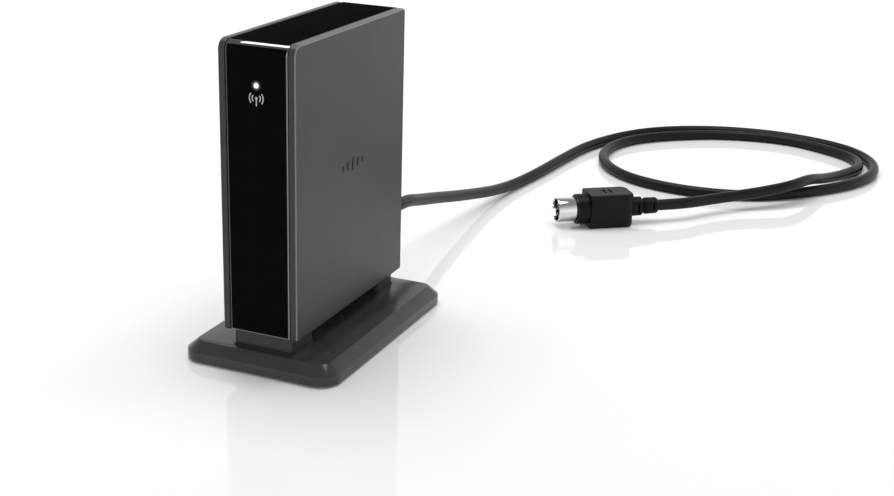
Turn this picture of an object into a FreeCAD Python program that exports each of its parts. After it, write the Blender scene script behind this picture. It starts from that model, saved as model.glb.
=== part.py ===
"""Wireless audio receiver: a slim tower on a weighted pedestal, with a captive signal lead
that ends in a round multi-pin plug.

Millimetres. The origin is the centre of the footprint on the surface that it stands on,
+Z is up, the glossy front faces -Y and the level bars are on the +X side.
"""
import FreeCAD, Part
import math
import os

V = FreeCAD.Vector
X, Y, Z = V(1, 0, 0), V(0, 1, 0), V(0, 0, 1)

# ---- driving dimensions -------------------------------------------------------------
# pedestal
BASE_W, BASE_L = 51.0, 82.0         # plan size
BASE_R = 6.3                        # plan corner radius
BASE_FLOAT = 0.7                    # gap that the feet hold under the pedestal
BASE_EDGE_Z = 3.3                   # top of the upright edge
BASE_TOP_Z = 6.2                    # flat top
BASE_BEVEL = 3.4                    # how far the sloping border comes in
BASE_WALL = 2.2
BASE_ROOF = 2.0
COVER_T = 1.0
BALLAST_W, BALLAST_L, BALLAST_T = 41.0, 66.0, 2.3
FOOT_R, FOOT_T = 4.5, 1.2
FOOT_X, FOOT_Y = 18.0, 33.5
COVER_SCREW_X, COVER_SCREW_Y = 18.2, 20.0

# posts between pedestal and tower
POST_HALF_W = 9.9
FRONT_POST_Y = (-35.4, -22.3)
REAR_POST_Y = (21.6, 33.2)
POST_SINK = 0.6                     # depth of the pockets that seat the posts
POST_LIP = 0.4

# tower
TOWER_W = 24.6
TOWER_Y0, TOWER_Y1 = -37.0, 34.5
TOWER_Z0, TOWER_Z1 = 11.2, 98.2
SHELL_T = 2.2
NOSE_R = 3.2                        # top front corner, seen from the side
SHELL_CORNER_R = 1.0
SIDE_GAP = 0.15                     # between the shells and what they hold
BAND_T = 2.0
BAND_FOOT_Z = 11.8                  # lower end of the glossy band
TRAY_Z0, TRAY_T = 11.6, 1.9
REAR_INSET = 0.5                    # rear panel behind the shells' rear edge
REAR_T = 1.5
FRAME_T = 1.6

# main board and what is on it
BOARD_X0, BOARD_T = -3.6, 1.6
BOARD_Y, BOARD_Z = (-32.5, 26.0), (21.0, 89.0)
RADIO_T = 0.8
SOCKET_Y, SOCKET_Z = 10.0, 30.0
LED_Z = 86.2
ICON_Z = 82.6
ICON_STROKE, ICON_DEPTH = 0.34, 0.2

# raised level bars on the +X side
BARS_Y, BARS_Z = -1.0, 56.4
BARS_PITCH, BAR_W, BAR_T = 3.2, 1.5, 0.2
BAR_HEIGHTS = (1.6, 2.8, 4.0, 2.8, 1.6)

# pairing button and its switch, from the outside in
BUTTON_Z = 84.0
BUTTON_R = 3.0
BUTTON_TRAVEL = 0.5
BUTTON_Y1 = 34.3                    # crown of the cap
BUTTON_FLANGE_R, BUTTON_FLANGE_T = 3.7, 0.95
BUTTON_STEM_R = 1.3
PLUNGER_R, PLUNGER_Y = 0.92, (24.6, 27.0)
SWITCH_X1, SWITCH_Y, SWITCH_HALF_Z = 2.0, (19.5, 25.5), 3.0

# lead and plug
CORD_D = 4.4
CORD_EXIT_Z = 24.8
GLAND_END_Y = 54.0
GLAND_R0, GLAND_R1 = 4.2, 2.75      # tail of the gland, thick end and thin end
PLUG_AXIS_Z = 6.7
RELIEF_L, BODY_L, COLLAR_L, SLEEVE_L = 11.2, 18.0, 4.7, 7.8
BODY_W, BODY_H = 12.4, 2 * PLUG_AXIS_Z
COLLAR_R = 5.9
SLEEVE_R, SLEEVE_WALL = 4.75, 0.35
PIN_R = 0.45

# route of the lead's centre line, from the gland to the plug; no point is under CORD_D / 2
FLOOR = CORD_D / 2
ROUTE = [
    (0, GLAND_END_Y, CORD_EXIT_Z), (0, 64, CORD_EXIT_Z), (-1.5, 80, 20.4), (-2.4, 98, 16.1),
    (-2, 117, 11.6), (-1.4, 136, 7.5), (-0.3, 154, 4), (1.6, 172, FLOOR), (4.6, 192, FLOOR),
    (6.5, 218, FLOOR), (10, 250, FLOOR), (25, 284, FLOOR), (52, 304, FLOOR),
    (84, 311, FLOOR), (115, 304, FLOOR), (132, 288, FLOOR), (138, 266, FLOOR), (132, 243, FLOOR),
    (116, 221, FLOOR), (98, 204, FLOOR), (72, 197, FLOOR), (45, 202, FLOOR), (27, 218, FLOOR),
    (19, 240, FLOOR), (22, 262, FLOOR), (36, 281, FLOOR), (62, 299, FLOOR), (91, 304, FLOOR),
    (112, 295, FLOOR), (126.5, 284.5, FLOOR), (130.5, 269, FLOOR), (124.5, 252.5, 2.6),
    (119.4, 236, 4.6), (115.8, 221, 8), (110.8, 206.8, 8.1), (102.5, 197.6, 7.1), (93.5, 189, 6.3),
    (83.8, 178, 6.1), (75.4, 164.7, PLUG_AXIS_Z), (66.6, 158.1, PLUG_AXIS_Z),
]

# ---- places worked out from the driving dimensions ----------------------------------
SHELL_IN = TOWER_W / 2 - SHELL_T                # inner face of each side shell
CORE_X = SHELL_IN - SIDE_GAP                    # half width of everything between them
BAND_IN_Y = TOWER_Y0 + BAND_T
BAND_IN_Z = TOWER_Z1 - BAND_T
REAR_Y1 = TOWER_Y1 - REAR_INSET                 # outer face of the rear panel
REAR_Y0 = REAR_Y1 - REAR_T
TRAY_Z1 = TRAY_Z0 + TRAY_T
FRAME_IN_Y0, FRAME_IN_Y1 = BAND_IN_Y + FRAME_T, REAR_Y0 - FRAME_T
FRAME_IN_Z0, FRAME_IN_Z1 = TRAY_Z1 + FRAME_T, BAND_IN_Z - FRAME_T
BOARD_FACE = BOARD_X0 + BOARD_T                 # component side
HOUSING_X1 = BOARD_FACE + 7.0                   # where the loose wires leave their housing
COVER_Z1 = BASE_FLOAT + COVER_T
COVER_SEAT_Z = BASE_FLOAT + 0.5                 # where the cover screws' heads sit
BASE_IN_Z = BASE_TOP_Z - BASE_ROOF
POST_TOP = TRAY_Z0
POST_SCREW_Y = [sum(FRONT_POST_Y) / 2, sum(REAR_POST_Y) / 2]
PEG_R, PEG_L = 1.25, 4.5
BOSS_R = 2.5
PEG_IN = BOSS_R - 0.5                           # so that each boss grows out of the frame's wall
PEG_YZ = [(y, z) for y in (FRAME_IN_Y0 + PEG_IN, FRAME_IN_Y1 - PEG_IN)
          for z in (FRAME_IN_Z0 + PEG_IN, FRAME_IN_Z1 - PEG_IN)]
BUTTON_Y0 = BUTTON_Y1 - 2.9                     # back of the cap and of its flange
PLUG_END = V(*ROUTE[-1])                        # where the lead enters the plug
PLUG_HEADING = math.degrees(math.atan2(ROUTE[-2][1] - ROUTE[-1][1], ROUTE[-2][0] - ROUTE[-1][0]))
BODY_X = -RELIEF_L - BODY_L                     # stations along the plug, back from its cord end
COLLAR_X = BODY_X - COLLAR_L
MOUTH_X = COLLAR_X - SLEEVE_L
BOARD_SCREW_YZ = [(-28.5, 26.0), (21.5, 42.0), (-28.5, 76.0), (21.5, 74.0)]
REAR_SCREW_Z = [40.0, 66.0]


# ---- small helpers ------------------------------------------------------------------
def block(x, y, z):
    """Box between three (low, high) pairs."""
    return Part.makeBox(x[1] - x[0], y[1] - y[0], z[1] - z[0], V(x[0], y[0], z[0]))


def rod(radius, start, axis, length):
    """Solid cylinder from start along axis."""
    return Part.makeCylinder(radius, length, start, axis)


def rounded_plan(width, length, radius, z):
    """Closed wire of a rounded rectangle, centred on the origin at height z."""
    box = block((-width / 2, width / 2), (-length / 2, length / 2), (0, 1))
    upright = [e for e in box.Edges if abs(e.tangentAt(e.FirstParameter).z) > 0.99]
    slab = box.makeFillet(radius, upright)
    floor = min(slab.Faces, key=lambda f: f.CenterOfMass.z)
    wire = floor.OuterWire.copy()
    wire.translate(V(0, 0, z))
    return wire


def slab_of(wire, height):
    """Prism that stands on a flat wire."""
    return Part.Face(wire).extrude(V(0, 0, height))


def round_edges(solid, radius, axis, where=lambda centre: True):
    """Fillet the straight edges along axis whose middle passes a test."""
    picked = [e for e in solid.Edges
              if isinstance(e.Curve, Part.Line)
              and abs(e.tangentAt(e.FirstParameter).dot(axis)) > 0.99
              and where(e.CenterOfMass)]
    return solid.makeFillet(radius, picked)


def fuse_all(shapes):
    """One clean solid from overlapping or touching shapes."""
    first, rest = shapes[0], shapes[1:]
    return first.fuse(rest).removeSplitter() if rest else first


def cut_all(shape, tools):
    """Shape with every tool taken away."""
    return shape.cut(Part.makeCompound(tools)) if tools else shape


def side_plate(y, z, nose, corner, x0, thickness):
    """Upright plate with one big top front corner and three small ones."""
    plate = block((x0, x0 + thickness), y, z)
    plate = round_edges(plate, nose, X, lambda c: c.y < 0 and c.z > 50)
    return round_edges(plate, corner, X, lambda c: c.y > 0 or c.z < 50)


def screw(head_r, head_h, shank_r, length, seat, axis):
    """Pan head screw: the head sits on seat and the shank runs along axis."""
    head = rod(head_r, seat - axis * head_h, axis, head_h)
    far = [e for e in head.Edges if (e.CenterOfMass - seat).dot(axis) < -head_h * 0.9]
    head = head.makeFillet(head_h * 0.35, far[:1])
    side = axis.cross(X) if abs(axis.dot(X)) < 0.5 else axis.cross(Z)
    blade = axis.cross(side)
    slots = []
    for way, other in ((side, blade), (blade, side)):
        half, thin, deep = way * head_r * 0.62, other * head_r * 0.13, head_h * 0.55
        base = seat - axis * head_h
        corners = [base - half - thin, base + half - thin, base + half + thin, base - half + thin]
        wire = Part.makePolygon(corners + corners[:1])
        slots.append(Part.Face(wire).extrude(axis * deep))
    head = cut_all(head, slots)
    return fuse_all([head, rod(shank_r, seat, axis, length)])


def save(name, shape):
    """Write one node and print its size."""
    box = shape.optimalBoundingBox()
    shape.exportStep(f"parts/{name}.step")
    print(f"{name:22s} solids {len(shape.Solids)} vol {shape.Volume:9.1f} valid {shape.isValid()}"
          f"  x {box.XMin:.1f}..{box.XMax:.1f} y {box.YMin:.1f}..{box.YMax:.1f}"
          f" z {box.ZMin:.1f}..{box.ZMax:.1f}")


# ---- pedestal -----------------------------------------------------------------------
def pedestal_shell():
    """Moulded pedestal: upright edge, sloping border, flat top, open underneath."""
    top_w, top_l = BASE_W - 2 * BASE_BEVEL, BASE_L - 2 * BASE_BEVEL
    edge = slab_of(rounded_plan(BASE_W, BASE_L, BASE_R, BASE_FLOAT), BASE_EDGE_Z - BASE_FLOAT)
    border = Part.makeLoft([rounded_plan(BASE_W, BASE_L, BASE_R, BASE_EDGE_Z),
                            rounded_plan(top_w, top_l, BASE_R - BASE_BEVEL, BASE_TOP_Z)],
                           True, True)
    body = fuse_all([edge, border])
    hollow = slab_of(rounded_plan(BASE_W - 2 * BASE_WALL, BASE_L - 2 * BASE_WALL,
                                  BASE_R - BASE_WALL, BASE_FLOAT), BASE_IN_Z - BASE_FLOAT)
    body = body.cut(hollow)
    bosses = [rod(2.6, V(sx * COVER_SCREW_X, sy * COVER_SCREW_Y, COVER_Z1), Z,
                  BASE_IN_Z - COVER_Z1) for sx in (-1, 1) for sy in (-1, 1)]
    body = fuse_all([body] + bosses)
    tools = [rod(0.95, V(b.CenterOfMass.x, b.CenterOfMass.y, COVER_Z1), Z, 3.0) for b in bosses]
    for low, high in (FRONT_POST_Y, REAR_POST_Y):
        tools.append(block((-POST_HALF_W - 0.1, POST_HALF_W + 0.1), (low - 0.1, high + 0.1),
                           (BASE_TOP_Z - POST_SINK, BASE_TOP_Z + 1)))
    tools += [rod(1.6, V(0, y, BASE_IN_Z - 1), Z, BASE_TOP_Z) for y in POST_SCREW_Y]
    return cut_all(body, tools)


def ballast_plate():
    """Steel weight between the pedestal's roof and its cover."""
    plate = slab_of(rounded_plan(BALLAST_W, BALLAST_L, 3.0, COVER_Z1), BALLAST_T)
    tools = [rod(3.2, V(sx * COVER_SCREW_X, sy * COVER_SCREW_Y, 0), Z, 10)
             for sx in (-1, 1) for sy in (-1, 1)]
    tools += [rod(3.6, V(0, y, 0), Z, 10) for y in POST_SCREW_Y]
    return cut_all(plate, tools)


def base_cover():
    """Flat bottom cover with seats for the feet and holes for every screw."""
    gap = 0.1
    plate = slab_of(rounded_plan(BASE_W - 2 * (BASE_WALL + gap), BASE_L - 2 * (BASE_WALL + gap),
                                 BASE_R - BASE_WALL - gap, BASE_FLOAT), COVER_T)
    seat = FOOT_T - BASE_FLOAT
    tools = [rod(FOOT_R + gap, V(sx * FOOT_X, sy * FOOT_Y, 0), Z, BASE_FLOAT + seat)
             for sx in (-1, 1) for sy in (-1, 1)]
    for sx in (-1, 1):
        for sy in (-1, 1):
            centre = V(sx * COVER_SCREW_X, sy * COVER_SCREW_Y, 0)
            tools += [rod(1.15, centre, Z, 10), rod(1.9, centre, Z, COVER_SEAT_Z)]
    tools += [rod(3.4, V(0, y, 0), Z, 10) for y in POST_SCREW_Y]
    return cut_all(plate, tools)


def rubber_feet():
    """Four round feet, set into the cover."""
    feet = []
    for sx in (-1, 1):
        for sy in (-1, 1):
            foot = rod(FOOT_R, V(sx * FOOT_X, sy * FOOT_Y, 0), Z, FOOT_T)
            rim = [e for e in foot.Edges if e.CenterOfMass.z < 0.01]
            feet.append(foot.makeFillet(0.3, rim[:1]))
    return Part.makeCompound(feet)


def cover_screws():
    """Four flat screws that hold the cover and the ballast."""
    return Part.makeCompound([screw(1.7, 0.5, 0.9, 3.0, V(sx * COVER_SCREW_X, sy * COVER_SCREW_Y,
                                                          COVER_SEAT_Z), Z)
                              for sx in (-1, 1) for sy in (-1, 1)])


def post(span):
    """Block that carries the tower, with a small lip around its foot."""
    low, high = span
    body = block((-POST_HALF_W, POST_HALF_W), span, (BASE_TOP_Z - POST_SINK, POST_TOP))
    body = round_edges(body, 1.4, Z)
    lip = block((-POST_HALF_W - POST_LIP, POST_HALF_W + POST_LIP),
                (low - POST_LIP, high + POST_LIP), (BASE_TOP_Z, BASE_TOP_Z + 0.5))
    lip = round_edges(lip, 1.4 + POST_LIP, Z)
    bore = rod(1.6, V(0, (low + high) / 2, 0), Z, 30)
    return fuse_all([body, lip]).cut(bore)


def tower_screws():
    """Two long screws from under the pedestal, through the posts, into the tower."""
    return Part.makeCompound([screw(2.8, 1.9, 1.45, 12.0, V(0, y, BASE_IN_Z), Z)
                              for y in POST_SCREW_Y])


# ---- tower casing -------------------------------------------------------------------
def side_shell(side):
    """Flat side shell with softened rims and four pegs for the inner frame."""
    x0 = SHELL_IN if side > 0 else -TOWER_W / 2
    plate = side_plate((TOWER_Y0, TOWER_Y1), (TOWER_Z0, TOWER_Z1), NOSE_R, SHELL_CORNER_R,
                       x0, SHELL_T)
    outer = [f for f in plate.Faces if abs(abs(f.CenterOfMass.x) - TOWER_W / 2) < 1e-6][0]
    plate = plate.makeFillet(0.55, outer.Edges)
    inner = [f for f in plate.Faces if abs(abs(f.CenterOfMass.x) - SHELL_IN) < 1e-6][0]
    plate = plate.makeFillet(0.25, inner.OuterWire.Edges)
    pegs = [rod(PEG_R, V(side * (SHELL_IN + 0.5), y, z), X * -side, PEG_L + 0.5)
            for y, z in PEG_YZ]
    return fuse_all([plate] + pegs)


def side_emblem():
    """Five raised level bars on the +X shell, a plain decoration."""
    bars = []
    for i, height in enumerate(BAR_HEIGHTS):
        y = BARS_Y + (i - 2) * BARS_PITCH
        bar = block((TOWER_W / 2, TOWER_W / 2 + BAR_T), (y - BAR_W / 2, y + BAR_W / 2),
                    (BARS_Z - height / 2, BARS_Z + height / 2))
        bars.append(round_edges(bar, 0.4 * BAR_W, X))
    return Part.makeCompound(bars)


def band_blank():
    """Glossy strip that runs up the front and back over the top."""
    outer = block((-CORE_X, CORE_X), (TOWER_Y0, REAR_Y1), (BAND_FOOT_Z, TOWER_Z1))
    outer = round_edges(outer, NOSE_R, X, lambda c: c.y < 0 and c.z > 50)
    inner = block((-CORE_X - 1, CORE_X + 1), (BAND_IN_Y, TOWER_Y1 + 1), (0, BAND_IN_Z))
    inner = round_edges(inner, NOSE_R - BAND_T, X, lambda c: c.y < 0 and c.z > 50)
    band = outer.cut(inner)
    rims = [e for e in band.Edges if on_band_rim(e)]
    return band.makeFillet(0.6, rims)


def on_band_rim(edge):
    """True for the outer long edges of the band, where it meets the side shells."""
    centre, box = edge.CenterOfMass, edge.BoundBox
    if box.XLength > 0.01 or abs(abs(centre.x) - CORE_X) > 0.01:
        return False
    on_front = box.YLength < 0.01 and abs(centre.y - TOWER_Y0) < 0.01
    on_top = box.ZLength < 0.01 and abs(centre.z - TOWER_Z1) < 0.01
    at_nose = isinstance(edge.Curve, Part.Circle) and abs(edge.Curve.Radius - NOSE_R) < 0.01
    return on_front or on_top or at_nose


def arc_strip(radius, mid_deg, half_deg):
    """Curved bar of the signal icon: a slice of ring in the front face."""
    centre, half = V(0, TOWER_Y0, ICON_Z), ICON_STROKE / 2
    ring = rod(radius + half, centre, Y, ICON_DEPTH).cut(rod(radius - half, centre, Y, ICON_DEPTH))
    reach = radius * 2
    a, b = math.radians(mid_deg - half_deg), math.radians(mid_deg + half_deg)
    corners = [centre, centre + V(reach * math.cos(a), 0, reach * math.sin(a)),
               centre + V(reach * math.cos(b), 0, reach * math.sin(b))]
    wedge = Part.Face(Part.makePolygon(corners + corners[:1])).extrude(Y * ICON_DEPTH)
    return ring.common(wedge)


def icon_pieces():
    """Dot, stem and two pairs of arcs: the common sign for a radio signal."""
    dot = rod(0.42, V(0, TOWER_Y0, ICON_Z), Y, ICON_DEPTH)
    stem = block((-ICON_STROKE / 2, ICON_STROKE / 2), (TOWER_Y0, TOWER_Y0 + ICON_DEPTH),
                 (ICON_Z - 2.2, ICON_Z - 0.62))
    arcs = [arc_strip(radius, mid, half) for radius, half in ((1.3, 42), (2.2, 40))
            for mid in (0, 180)]
    return [dot, stem] + arcs


def gloss_band():
    """Band with the light hole and shallow pockets for the icon."""
    hole = rod(0.85, V(0, TOWER_Y0 - 1, LED_Z), Y, BAND_T + 2)
    return cut_all(band_blank(), icon_pieces() + [hole])


def light_pipe():
    """Clear rod that carries the light to the front face."""
    tip = rod(0.8, V(0, TOWER_Y0, LED_Z), Y, BAND_T)
    stem = rod(1.7, V(0, BAND_IN_Y, LED_Z), Y, 3.4)
    return fuse_all([tip, stem])


def rear_panel():
    """Recessed back panel with holes for the lead, the button and two screws."""
    panel = block((-CORE_X, CORE_X), (REAR_Y0, REAR_Y1), (TRAY_Z0, BAND_IN_Z))
    panel = round_edges(panel, 0.4, Z, lambda c: c.y > REAR_Y1 - 0.1)
    tools = [rod(3.6, V(0, 0, CORD_EXIT_Z), Y, 60), rod(BUTTON_R + 0.1, V(0, 0, BUTTON_Z), Y, 60)]
    for z in REAR_SCREW_Z:
        tools += [rod(1.4, V(0, 0, z), Y, 60), rod(2.8, V(0, REAR_Y1 - 0.6, z), Y, 5)]
    dish_r, dish_deep = 14.0, 0.8
    dish = Part.makeSphere(dish_r, V(0, REAR_Y1 + dish_r - dish_deep, BUTTON_Z))
    return cut_all(panel, tools + [dish])


def rear_screws():
    """Two screws that hold the rear panel to the inner frame."""
    return Part.makeCompound([screw(2.4, 1.0, 1.2, 5.4, V(0, REAR_Y1 - 0.6, z), Y * -1)
                              for z in REAR_SCREW_Z])


def bottom_tray():
    """Floor of the tower, with a tall boss over each post."""
    tray = block((-CORE_X, CORE_X), (BAND_IN_Y, REAR_Y0), (TRAY_Z0, TRAY_Z1))
    bosses = [rod(3.0, V(0, y, TRAY_Z0), Z, 7.0) for y in POST_SCREW_Y]
    bores = [rod(1.5, V(0, y, 0), Z, 17.6) for y in POST_SCREW_Y]
    return cut_all(fuse_all([tray] + bosses), bores)


def inner_frame():
    """Frame that everything in the tower is fixed to: a ring, a web and its bosses."""
    ring = block((-CORE_X, CORE_X), (BAND_IN_Y, REAR_Y0), (TRAY_Z1, BAND_IN_Z))
    ring = round_edges(ring, NOSE_R - BAND_T, X, lambda c: c.y < 0 and c.z > 50)
    web_x = -CORE_X + 1.2
    ring = ring.cut(block((web_x, CORE_X + 1), (FRAME_IN_Y0, FRAME_IN_Y1),
                          (FRAME_IN_Z0, FRAME_IN_Z1)))
    bosses = [rod(BOSS_R, V(side * CORE_X, y, z), X * -side, PEG_L + 1.5)
              for y, z in PEG_YZ for side in (-1, 1)]
    bosses += [rod(2.2, V(web_x, y, z), X, BOARD_X0 - web_x) for y, z in BOARD_SCREW_YZ]
    bosses += [rod(2.5, V(0, FRAME_IN_Y1 - 4, z), Y, 4) for z in REAR_SCREW_Z]
    tools = []
    for y, z in PEG_YZ:
        tools += [rod(PEG_R + 0.05, V(side * CORE_X, y, z), X * -side, PEG_L + 0.4)
                  for side in (-1, 1)]
    tools += [rod(1.0, V(BOARD_X0, y, z), X * -1, 4.6) for y, z in BOARD_SCREW_YZ]
    tools += [rod(1.25, V(0, FRAME_IN_Y1 - 4, z), Y, 10) for z in REAR_SCREW_Z]
    tools += [rod(3.15, V(0, y, TRAY_Z1 - 1), Z, FRAME_T + 2) for y in POST_SCREW_Y]
    tools.append(rod(1.85, V(0, BAND_IN_Y - 1, LED_Z), Y, FRAME_T + 2))
    tools.append(rod(4.2, V(0, FRAME_IN_Y1 - 1, BUTTON_Z), Y, FRAME_T + 2))
    tools.append(rod(5.4, V(0, FRAME_IN_Y1 - 1, CORD_EXIT_Z), Y, FRAME_T + 2))
    return cut_all(fuse_all([ring] + bosses), tools)


# ---- electronics --------------------------------------------------------------------
def main_board():
    """Main circuit board, held on four bosses."""
    board = block((BOARD_X0, BOARD_FACE), BOARD_Y, BOARD_Z)
    return cut_all(board, [rod(1.1, V(BOARD_X0 - 1, y, z), X, 4) for y, z in BOARD_SCREW_YZ])


def board_screws():
    """Four screws through the board into the frame."""
    return Part.makeCompound([screw(1.9, 1.2, 0.95, 5.6, V(BOARD_FACE, y, z), X * -1)
                              for y, z in BOARD_SCREW_YZ])


def on_board(height, y, z):
    """Box that stands on the board's component side, by its centre and size in y and z."""
    (y_mid, y_size), (z_mid, z_size) = y, z
    return block((BOARD_FACE, BOARD_FACE + height), (y_mid - y_size / 2, y_mid + y_size / 2),
                 (z_mid - z_size / 2, z_mid + z_size / 2))


def leaded_chip(height, y, z, per_side, pitch):
    """Chip body with gull legs along its two upright sides, as one solid."""
    lift = 0.15
    body = on_board(height, y, z)
    body = body.cut(on_board(lift, (y[0], y[1] + 1), (z[0], z[1] + 1)))
    legs = []
    for way in (-1, 1):
        for i in range(per_side):
            leg_z = z[0] + (i - (per_side - 1) / 2) * pitch
            foot = on_board(lift, (y[0] + way * (y[1] / 2 + 0.6), 0.8), (leg_z, pitch * 0.5))
            rise = on_board(height * 0.6, (y[0] + way * (y[1] / 2 + 0.15), 0.3),
                            (leg_z, pitch * 0.5))
            legs += [foot, rise]
    return fuse_all([body] + legs)


def radio_board():
    """Small carrier board of the radio module."""
    return on_board(RADIO_T, (-13.0, 24.0), (74.0, 15.0))


def radio_shield():
    """Metal can over the radio circuit."""
    top = BOARD_FACE + RADIO_T + 2.4
    can = block((BOARD_FACE + RADIO_T, top), (-24.0, -8.0), (67.5, 80.5))
    can = round_edges(can, 0.8, X)
    lid = [e for e in can.Edges if e.CenterOfMass.x > top - 0.01]
    return can.makeFillet(0.4, lid)


def chip_antenna():
    """Ceramic aerial at the free end of the radio board."""
    foot = BOARD_FACE + RADIO_T
    return block((foot, foot + 1.4), (-4.6, -2.4), (70.0, 78.0))


def capacitor(y, z, radius, height):
    """Upright electrolytic can on a square foot, with a crimp ring."""
    foot = on_board(0.9, (y, radius * 2 + 0.4), (z, radius * 2 + 0.4))
    can = rod(radius, V(BOARD_FACE + 0.9, y, z), X, height)
    top = [e for e in can.Edges if e.CenterOfMass.x > BOARD_FACE + height]
    can = can.makeFillet(0.5, top[:1])
    groove = Part.makeTorus(radius + 0.15, 0.35, V(BOARD_FACE + 2.2, y, z), X)
    return fuse_all([foot, can]).cut(groove)


def filter_capacitors():
    """Three supply capacitors."""
    return Part.makeCompound([capacitor(y, 36.0, 2.5, 5.4) for y in (-24.0, -17.0, -10.0)])


def power_inductor():
    """Moulded coil with rounded corners and a round hollow in its top."""
    coil = round_edges(on_board(3.0, (0.0, 6.4), (36.0, 6.4)), 1.2, X)
    return coil.cut(rod(2.2, V(BOARD_FACE + 2.4, 0.0, 36.0), X, 3))


def crystal():
    """Metal-lidded crystal."""
    return round_edges(on_board(1.1, (-24.0, 3.2), (56.0, 5.0)), 0.6, X)


def button_switch():
    """Side-push switch body on the board, with a bore for its plunger."""
    body = block((BOARD_FACE, SWITCH_X1), SWITCH_Y,
                 (BUTTON_Z - SWITCH_HALF_Z, BUTTON_Z + SWITCH_HALF_Z))
    bore_end = PLUNGER_Y[0] - 2 * BUTTON_TRAVEL
    bore = rod(PLUNGER_R + 0.08, V(0, bore_end, BUTTON_Z), Y, SWITCH_Y[1] - bore_end + 1)
    return round_edges(body, 0.4, Y).cut(bore)


def switch_plunger():
    """Plunger that the button's stem pushes."""
    return rod(PLUNGER_R, V(0, PLUNGER_Y[0], BUTTON_Z), Y, PLUNGER_Y[1] - PLUNGER_Y[0])


def pair_button():
    """Round push button: slightly crowned cap, hidden flange, long stem."""
    crown_r = 8 * BUTTON_R
    back = V(0, BUTTON_Y0, BUTTON_Z)
    cap = rod(BUTTON_R, back, Y, BUTTON_Y1 - BUTTON_Y0)
    cap = cap.common(Part.makeSphere(crown_r, V(0, BUTTON_Y1 - crown_r, BUTTON_Z)))
    flange = rod(BUTTON_FLANGE_R, back, Y, BUTTON_FLANGE_T)
    stem = rod(BUTTON_STEM_R, V(0, PLUNGER_Y[1], BUTTON_Z), Y, BUTTON_Y0 - PLUNGER_Y[1])
    return fuse_all([cap, flange, stem])


def status_led():
    """Side-looking light source with a domed lens."""
    face_y = -29.4
    body = block((BOARD_FACE, 1.4), (face_y, face_y + 2.8), (LED_Z - 1.5, LED_Z + 1.5))
    ahead = block((-2, 2), (face_y - 2, face_y), (LED_Z - 2, LED_Z + 2))
    dome = Part.makeSphere(1.1, V(0, face_y, LED_Z)).common(ahead)
    return fuse_all([body, dome])


def board_socket():
    """Pin header that the lead plugs into."""
    body = on_board(5.0, (SOCKET_Y, 5.0), (SOCKET_Z, 15.0))
    return body.cut(on_board(20, (SOCKET_Y, 3.2), (SOCKET_Z, 13.4)).translate(X * 1.2))


def lead_housing():
    """Crimp housing at the inner end of the lead, pushed into the socket."""
    plug = on_board(HOUSING_X1 - BOARD_FACE - 1.3, (SOCKET_Y, 3.0), (SOCKET_Z, 13.0))
    return round_edges(plug.translate(X * 1.3), 0.3, X)


def inner_leads():
    """Wires from the gland to the crimp housing, each an arch of runs and arcs."""
    wire_r, row_step = 0.45, 1.1
    wires = []
    for i in range(6):
        spread = i - 2.5
        row = row_step if i % 2 else -row_step
        start = V(spread * 0.62, FRAME_IN_Y1 + 0.1, CORD_EXIT_Z + row)
        end = V(HOUSING_X1, SOCKET_Y, SOCKET_Z + spread * 2.1)
        bend = V(6.0, SOCKET_Y + 8.0, end.z - 1.2 + spread * 0.25)
        wires.append(tube([start, start - Y * 5, bend, end + X * 3.2, end], wire_r))
    return Part.makeCompound(wires)


# ---- lead and plug ------------------------------------------------------------------
def rounded_path(points, share=0.45):
    """Wire of straight runs joined by tangent arcs, with the smallest radius and the length."""
    edges, radii = [], []
    here = points[0]
    for before, corner, after in zip(points, points[1:], points[2:]):
        back, ahead = before - corner, after - corner
        shorter = min(back.Length, ahead.Length)
        back.normalize()
        ahead.normalize()
        half_turn = (math.pi - back.getAngle(ahead)) / 2
        reach = share * shorter
        enter, leave = corner + back * reach, corner + ahead * reach
        radius = reach / math.tan(half_turn)
        to_centre = (back + ahead).normalize() * (radius / math.cos(half_turn))
        middle = corner + to_centre - to_centre.normalize() * radius
        edges.append(Part.LineSegment(here, enter).toShape())
        edges.append(Part.Arc(enter, middle, leave).toShape())
        radii.append(radius)
        here = leave
    edges.append(Part.LineSegment(here, points[-1]).toShape())
    return Part.Wire(edges), radii


def tube(points, radius):
    """Round tube along a rounded path."""
    path, _ = rounded_path(points)
    ring = Part.Wire([Part.makeCircle(radius, points[0], points[1] - points[0])])
    return path.makePipeShell([ring], True, False)


def cord():
    """The free lead, from the gland to the plug."""
    points = [V(*p) for p in ROUTE]
    path, radii = rounded_path(points)
    solid = tube(points, CORD_D / 2)
    ideal = path.Length * math.pi * CORD_D ** 2 / 4
    print(f"lead: length {path.Length:.1f}, radii {min(radii):.1f} to {max(radii):.0f},"
          f" volume over ideal {solid.Volume / ideal:.4f}")
    print("  radii", " ".join(f"{r:.0f}" for r in radii))
    return solid


def cable_gland():
    """Tapered strain relief: flange inside the panel, neck, grooved tail outside."""
    centre = V(0, 0, CORD_EXIT_Z)
    flange_y = FRAME_IN_Y1 + 0.1
    flange = rod(5.1, centre + Y * flange_y, Y, REAR_Y0 - flange_y)
    neck = rod(3.5, centre + Y * REAR_Y0, Y, REAR_T)
    tail = Part.makeCone(GLAND_R0, GLAND_R1, GLAND_END_Y - REAR_Y1, centre + Y * REAR_Y1, Y)
    end = [e for e in tail.Edges if e.CenterOfMass.y > GLAND_END_Y - 0.1]
    tail = tail.makeFillet(0.35, end[:1])
    grooves = []
    for i in range(6):
        y = REAR_Y1 + 3.0 + i * 2.7
        ring = rod(6.0, centre + Y * y, Y, 1.1).cut(rod(3.15 - i * 0.12, centre + Y * y, Y, 1.1))
        web = block((-7, 7), (y - 1, y + 3), (CORD_EXIT_Z - 0.9, CORD_EXIT_Z + 0.9))
        grooves.append(ring.cut(web))
    return fuse_all([flange, neck, cut_all(tail, grooves)])


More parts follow.
